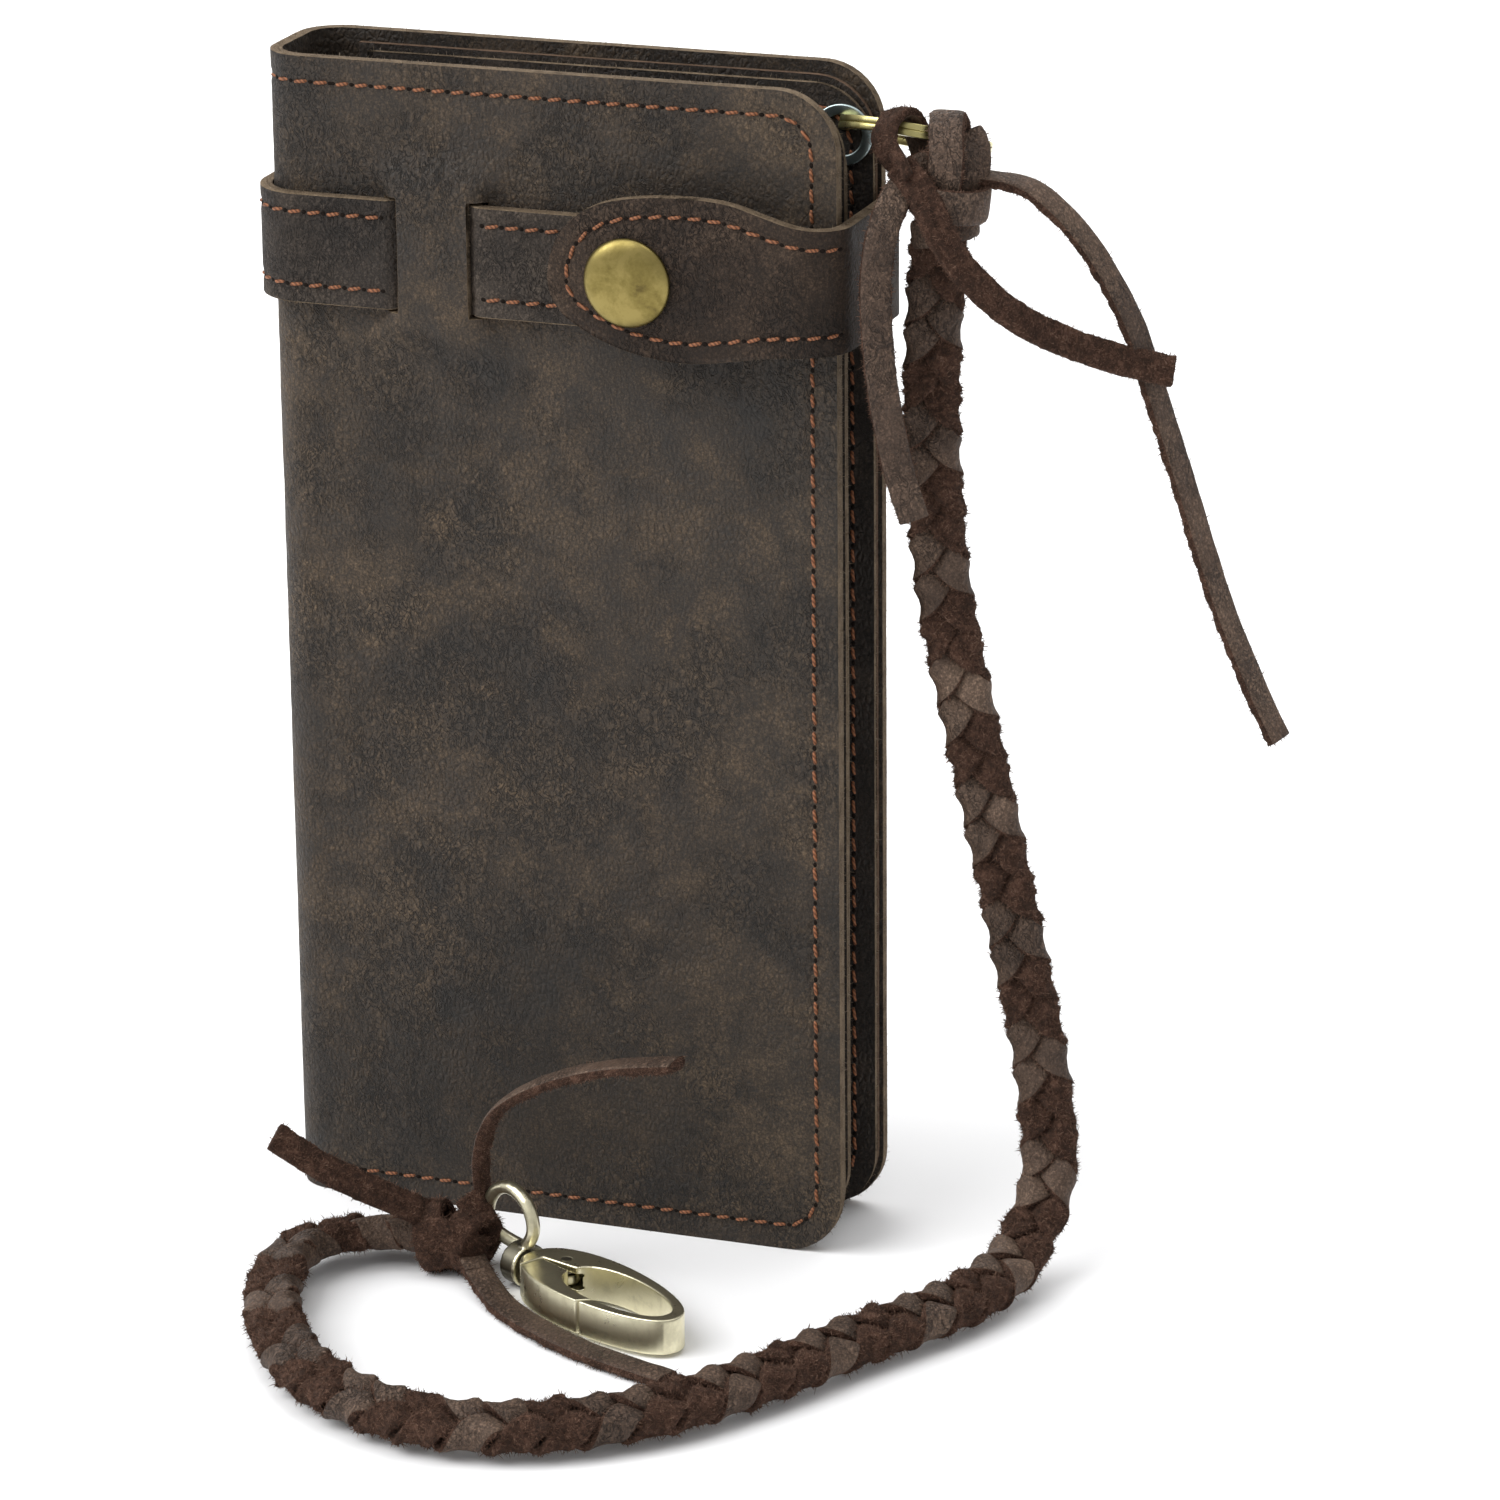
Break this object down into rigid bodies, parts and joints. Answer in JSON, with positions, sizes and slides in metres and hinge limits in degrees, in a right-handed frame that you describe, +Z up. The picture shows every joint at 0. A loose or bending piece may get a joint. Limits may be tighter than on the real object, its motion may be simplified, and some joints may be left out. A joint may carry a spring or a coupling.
{
  "type": "chain wallet",
  "caption": "Long leather wallet with a snap tab over slit-threaded strap, folding spine, inner page and card slots, braided leather lanyard on a split ring and a swivel clasp.",
  "frame": {"origin": "middle of the standing wallet's footprint on the surface, without the lanyard", "axes": "+Z up the wallet's height, +X from the spine to the open fore-edge, -Y out of the front cover"},
  "size_m": [0.1688, 0.1301, 0.195],
  "materials": {
    "cover_leather": "waxed pull-up leather, mottled brown",
    "suede": "rough flesh side, brown",
    "antique_brass": "antique, satin",
    "dark_brass": "blackened, satin"
  },
  "bodies": {
    "back_half": {"cover_back": "cover_leather", "pocket_divider": "suede", "leaf_back": "cover_leather", "card_slot_1": "cover_leather", "card_slot_2": "cover_leather", "card_slot_3": "cover_leather", "card_slot_4": "cover_leather", "strap_back": "cover_leather", "eyelet": "dark_brass", "knot_top": "suede", "lace_short": "suede", "lace_front": "suede", "lace_long": "suede"},
    "spine": {"cover_spine": "cover_leather", "strap_spine": "cover_leather", "page_front": "cover_leather", "page_back": "suede"},
    "front_half": {"cover_front": "cover_leather", "lining_front": "suede", "strap_front": "cover_leather", "snap_stud": "antique_brass", "snap_rivet": "dark_brass"},
    "strap_bend": {"strap_edge": "cover_leather"},
    "tab": {"strap_tab": "cover_leather", "snap_cap": "antique_brass", "snap_socket": "dark_brass"},
    "ring": {"split_ring": "antique_brass"},
    "lanyard": {"braid": "suede", "knot_end": "suede", "lace_left": "suede", "lace_up": "suede", "lace_floor": "suede", "clasp_eye": "antique_brass"},
    "clasp": {"swivel_post": "dark_brass", "clasp_frame": "antique_brass", "gate_pin": "dark_brass", "gate_spring": "dark_brass"},
    "gate": {"clasp_gate": "antique_brass"}
  },
  "joints": [
    {"name": "spine_fold", "type": "hinge", "parent": "back_half", "child": "spine", "pos_m": [-0.04085, 0.01765, 0.0975], "axis": [0, 0, -1], "range_deg": [0, 60]},
    {"name": "cover_open", "type": "hinge", "parent": "spine", "child": "front_half", "pos_m": [-0.04085, -0.01095, 0.0975], "axis": [0, 0, -1], "range_deg": [0, 60]},
    {"name": "strap_swing", "type": "hinge", "parent": "back_half", "child": "strap_bend", "pos_m": [0.0513, 0.0155, 0.164], "axis": [0, 0, 1], "range_deg": [0, 180], "deforming": ["strap_edge"]},
    {"name": "tab_lift", "type": "hinge", "parent": "strap_bend", "child": "tab", "pos_m": [0.0513, -0.0132, 0.164], "axis": [0, 0, 1], "range_deg": [0, 180], "deforming": ["strap_tab"]},
    {"name": "ring_turn", "type": "hinge", "parent": "back_half", "child": "ring", "pos_m": [0.0548, 0.01285, 0.184], "axis": [0.0822, 0.3338, 0.9391], "continuous": true},
    {"name": "lanyard_swing", "type": "hinge", "parent": "back_half", "child": "lanyard", "pos_m": [0.0615, 0.00235, 0.0975], "axis": [0, 0, 1], "range_deg": [0, 114]},
    {"name": "clasp_swivel", "type": "hinge", "parent": "lanyard", "child": "clasp", "pos_m": [0.004, -0.03615, 0.0037], "axis": [0.866, -0.5, 0], "continuous": true},
    {"name": "gate_press", "type": "hinge", "parent": "clasp", "child": "gate", "pos_m": [0.01236, -0.03867, 0.0037], "axis": [0, 0, 1], "range_deg": [0, 18], "stiffness_Nm_per_rad": 0.02, "springref_deg": -11.46}
  ],
  "couplings": [
    {"joint": "spine_fold", "follows": "cover_open", "ratio": 1},
    {"joint": "strap_swing", "follows": "cover_open", "ratio": 3},
    {"joint": "tab_lift", "follows": "cover_open", "ratio": 3},
    {"joint": "lanyard_swing", "follows": "cover_open", "ratio": 1.9}
  ]
}
